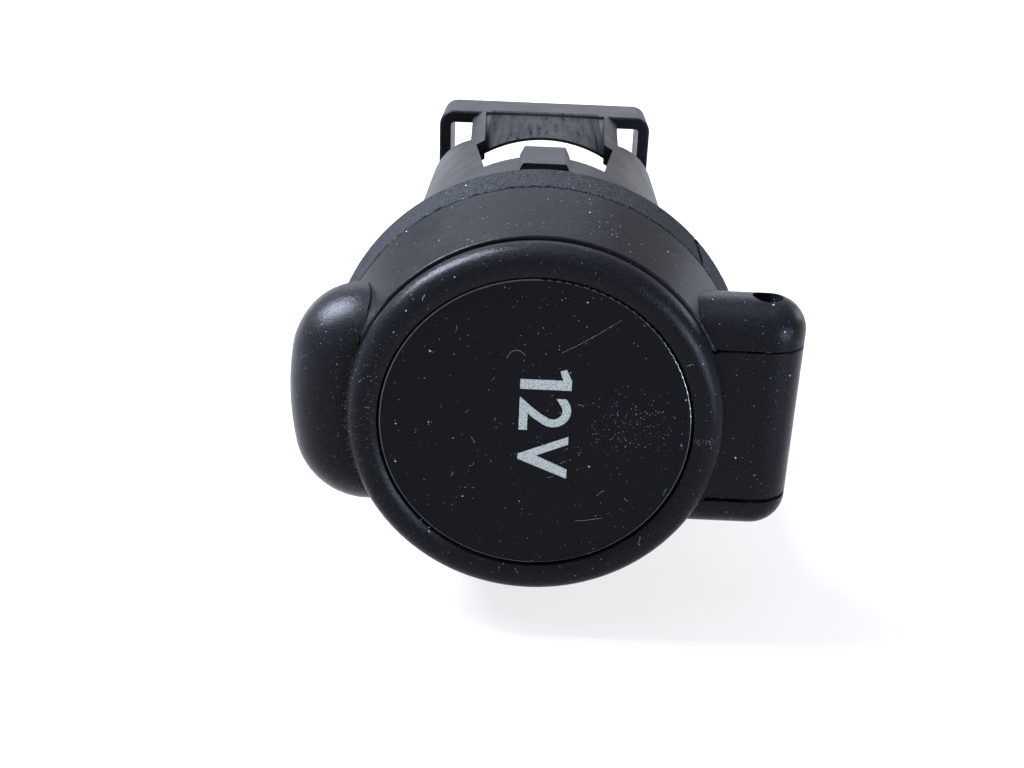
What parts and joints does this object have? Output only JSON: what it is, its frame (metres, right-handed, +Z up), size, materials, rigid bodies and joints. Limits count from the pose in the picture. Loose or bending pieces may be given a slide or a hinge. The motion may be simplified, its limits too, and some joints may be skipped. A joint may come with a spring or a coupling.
{
  "type": "car power socket",
  "caption": "Car power socket: hinged lid with a lift tab on a conical collar, rubber panel seal, plated contact barrel in a slotted mounting cage, blade terminals.",
  "frame": {"origin": "on the socket's axis at the front face of the panel, where the rear of the rubber seal sits", "axes": "+Y along the socket's axis into the panel, so the lid faces -Y; hinge on +X; +Z up"},
  "size_m": [0.0411, 0.0735, 0.0356],
  "materials": {
    "black_abs": "fine moulded grain",
    "black_disc": "smooth satin",
    "black_rubber": "dusty, matt",
    "black_nylon": "smooth moulded",
    "pin_steel": "plain",
    "spring_steel": "drawn",
    "nickel_plate": "plated",
    "insulator": "moulded",
    "brass": "stamped"
  },
  "bodies": {
    "socket": {"bezel": "black_abs", "hinge_pin": "pin_steel", "hinge_spring": "spring_steel", "panel_seal": "black_rubber", "mounting_cage": "black_nylon", "contact_barrel": "nickel_plate", "retaining_ring": "spring_steel", "inner_insulator": "insulator", "base_insulator": "insulator", "centre_contact": "brass", "contact_rivet": "brass", "positive_terminal": "brass", "negative_terminal": "brass", "ground_rivet": "pin_steel"},
    "lid": {"lid": "black_abs", "lid_disc": "black_disc", "lid_seal": "black_rubber"}
  },
  "joints": [
    {"name": "lid_hinge", "type": "hinge", "parent": "socket", "child": "lid", "pos_m": [0.01775, -0.00695, 0], "axis": [0, 0, 1], "range_deg": [0, 110], "stiffness_Nm_per_rad": 0.006, "springref_deg": -34.38, "deforming": ["hinge_spring"]}
  ]
}
